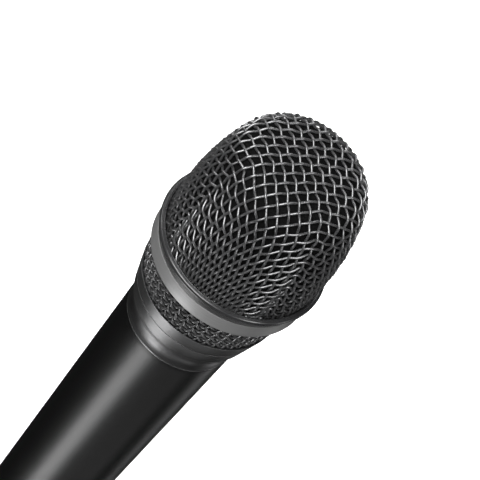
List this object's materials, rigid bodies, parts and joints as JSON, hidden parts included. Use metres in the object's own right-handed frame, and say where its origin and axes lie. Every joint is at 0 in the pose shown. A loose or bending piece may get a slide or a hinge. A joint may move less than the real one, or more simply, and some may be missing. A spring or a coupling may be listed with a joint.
{
  "type": "dynamic microphone",
  "caption": "Handheld moving-coil microphone with a screw-on woven grille, a tapered handle and a round plug socket in its tail.",
  "frame": {"origin": "centre of the tail face, where the plug goes in", "axes": "+Z along the handle's axis towards the grille; +Y towards the latch side of the plug socket"},
  "size_m": [0.0512, 0.0512, 0.194],
  "materials": {
    "handle_paint": "satin black paint over die-cast metal",
    "neck_finish": "satin charcoal finish over machined metal",
    "band_finish": "satin dark grey finish over a turned ring",
    "grille_wire": "satin black coating over woven steel wire",
    "steel": "zinc-plated",
    "nickel": "satin nickel plate",
    "can_metal": "tinned screening can",
    "iron": "zinc-plated soft iron",
    "magnet_plating": "nickel-plated magnet",
    "contact_plating": "silver-plated brass",
    "solder": "tinned brass",
    "copper": "enamelled copper winding",
    "foam": "open-cell foam",
    "cloth": "fine acoustic cloth",
    "rubber": "moulded rubber",
    "black_plastic": "moulded",
    "grey_plastic": "moulded",
    "board": "phenolic board",
    "film": "thin translucent film",
    "shield_wire": "insulated wire",
    "red_wire": "insulated wire",
    "blue_wire": "insulated wire"
  },
  "bodies": {
    "handle": {"handle_shell": "handle_paint", "neck_ring": "neck_finish", "seam_gasket": "rubber", "connector_sleeve": "nickel", "connector_insulator": "black_plastic", "insert_screw": "steel", "contact_pin_1": "contact_plating", "contact_pin_2": "contact_plating", "contact_pin_3": "contact_plating", "connector_lead_1": "shield_wire", "connector_lead_2": "red_wire", "connector_lead_3": "blue_wire", "transformer_can": "can_metal", "transformer_sleeve": "foam", "shock_mount": "rubber", "cartridge_lead_1": "red_wire", "cartridge_lead_2": "blue_wire"},
    "windscreen": {"foam_liner": "foam", "foam_strip": "foam"},
    "grille": {"upper_mesh": "grille_wire", "lower_mesh": "grille_wire", "band_ring": "band_finish", "inner_hoop": "steel", "grille_collar": "neck_finish"},
    "cartridge": {"rear_chamber": "black_plastic", "terminal_board": "board", "terminal_studs": "solder", "capsule_housing": "black_plastic", "port_cloth": "cloth", "yoke_cup": "iron", "magnet": "magnet_plating", "pole_piece": "iron", "frame_ring": "grey_plastic", "clamp_ring": "grey_plastic", "resonator_cap": "black_plastic", "front_cloth": "cloth"},
    "moving_coil": {"diaphragm": "film", "surround": "film", "voice_coil": "copper"}
  },
  "joints": [
    {"name": "grille_lift", "type": "slide", "parent": "handle", "child": "windscreen", "axis": [0, 0, 1], "range_m": [0, 0.0045]},
    {"name": "grille_turn", "type": "hinge", "parent": "windscreen", "child": "grille", "pos_m": [0, 0, 0.125], "axis": [0, 0, 1], "range_deg": [0, 1620]},
    {"name": "cartridge_float", "type": "slide", "parent": "handle", "child": "cartridge", "axis": [0, 0, 1], "range_m": [-0.0008, 0.0008], "stiffness_N_per_m": 3000, "deforming": ["shock_mount", "cartridge_lead_1", "cartridge_lead_2"]},
    {"name": "coil_travel", "type": "slide", "parent": "cartridge", "child": "moving_coil", "axis": [0, 0, 1], "range_m": [-0.00025, 0.00025], "stiffness_N_per_m": 150, "deforming": ["surround"]}
  ],
  "couplings": [
    {"joint": "grille_lift", "follows": "grille_turn", "m_per_rad": 0.00015915}
  ]
}
